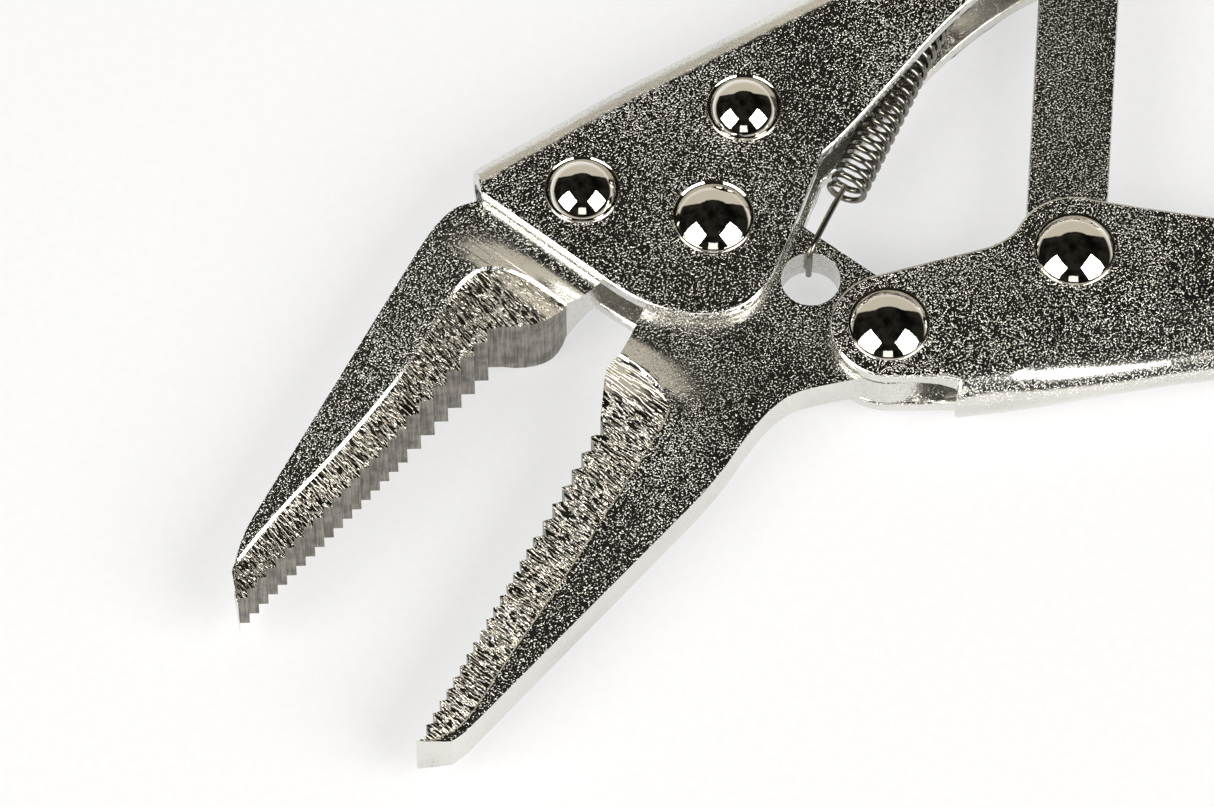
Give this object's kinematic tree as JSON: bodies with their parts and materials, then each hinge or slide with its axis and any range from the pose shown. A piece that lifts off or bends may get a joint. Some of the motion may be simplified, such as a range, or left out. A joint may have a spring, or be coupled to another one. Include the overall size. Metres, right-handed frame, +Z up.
{
  "type": "locking pliers",
  "caption": "Long-nose locking pliers with toothed jaws, riveted pressed-sheet handles, a toggle link, a return spring, a release lever and an adjusting screw.",
  "frame": {"origin": "on the jaw pivot's axis, at the flat of that rivet's underside head, on the surface that the pliers lie on", "axes": "+X along the upper handle from the jaws to the adjusting screw, +Y from the lower handle to the upper handle's spine, +Z up through the thickness"},
  "size_m": [0.1629, 0.0886, 0.0119],
  "materials": {
    "handle_sheet": "nickel plate over a finely pebbled pressing",
    "jaw_steel": "nickel plate over sandblasted steel, milled flanks and teeth",
    "link_steel": "nickel plate over sandblasted steel",
    "rivet_steel": "polished nickel",
    "spring_steel": "bright drawn wire",
    "screw_steel": "nickel plate over a rolled thread and knurl"
  },
  "bodies": {
    "upper_handle": {"upper_handle": "handle_sheet", "fixed_jaw": "jaw_steel", "jaw_rivet_front": "rivet_steel", "jaw_rivet_rear": "rivet_steel", "jaw_pivot_rivet": "rivet_steel", "return_spring": "spring_steel"},
    "movable_jaw": {"movable_jaw": "jaw_steel"},
    "lower_handle": {"lower_handle": "handle_sheet", "handle_pivot_rivet": "rivet_steel", "toggle_pivot_rivet": "rivet_steel", "release_lever_pin": "rivet_steel"},
    "toggle_link": {"toggle_link": "link_steel"},
    "release_lever": {"release_lever": "link_steel"},
    "screw_slide": {"screw_tip": "screw_steel"},
    "adjusting_screw": {"adjusting_screw": "screw_steel"}
  },
  "joints": [
    {"name": "jaw_pivot", "type": "hinge", "parent": "upper_handle", "child": "movable_jaw", "pos_m": [0, 0, 0.0058], "axis": [0, 0, -1], "range_deg": [0, 20], "stiffness_Nm_per_rad": 0.3, "springref_deg": -28.65, "deforming": ["return_spring"]},
    {"name": "handle_pivot", "type": "hinge", "parent": "movable_jaw", "child": "lower_handle", "pos_m": [0.009, -0.0194, 0.0058], "axis": [0, 0, 1], "range_deg": [0, 59.2]},
    {"name": "toggle_pivot", "type": "hinge", "parent": "lower_handle", "child": "toggle_link", "pos_m": [0.0296, -0.0214, 0.0058], "axis": [0, 0, -1], "range_deg": [0, 63]},
    {"name": "lever_pivot", "type": "hinge", "parent": "lower_handle", "child": "release_lever", "pos_m": [0.04637, -0.03567, 0.0058], "axis": [0, 0, -1], "range_deg": [0, 8]},
    {"name": "screw_feed", "type": "slide", "parent": "upper_handle", "child": "screw_slide", "axis": [1, 0, 0], "range_m": [0, 0.008]},
    {"name": "screw_turn", "type": "hinge", "parent": "screw_slide", "child": "adjusting_screw", "pos_m": [0.06, 0.0141, 0.0058], "axis": [1, 0, 0], "range_deg": [0, 2880]}
  ],
  "couplings": [
    {"joint": "handle_pivot", "follows": "jaw_pivot", "ratio": 2.958},
    {"joint": "toggle_pivot", "follows": "jaw_pivot", "ratio": 3.147},
    {"joint": "screw_feed", "follows": "screw_turn", "m_per_rad": 0.00015915}
  ]
}
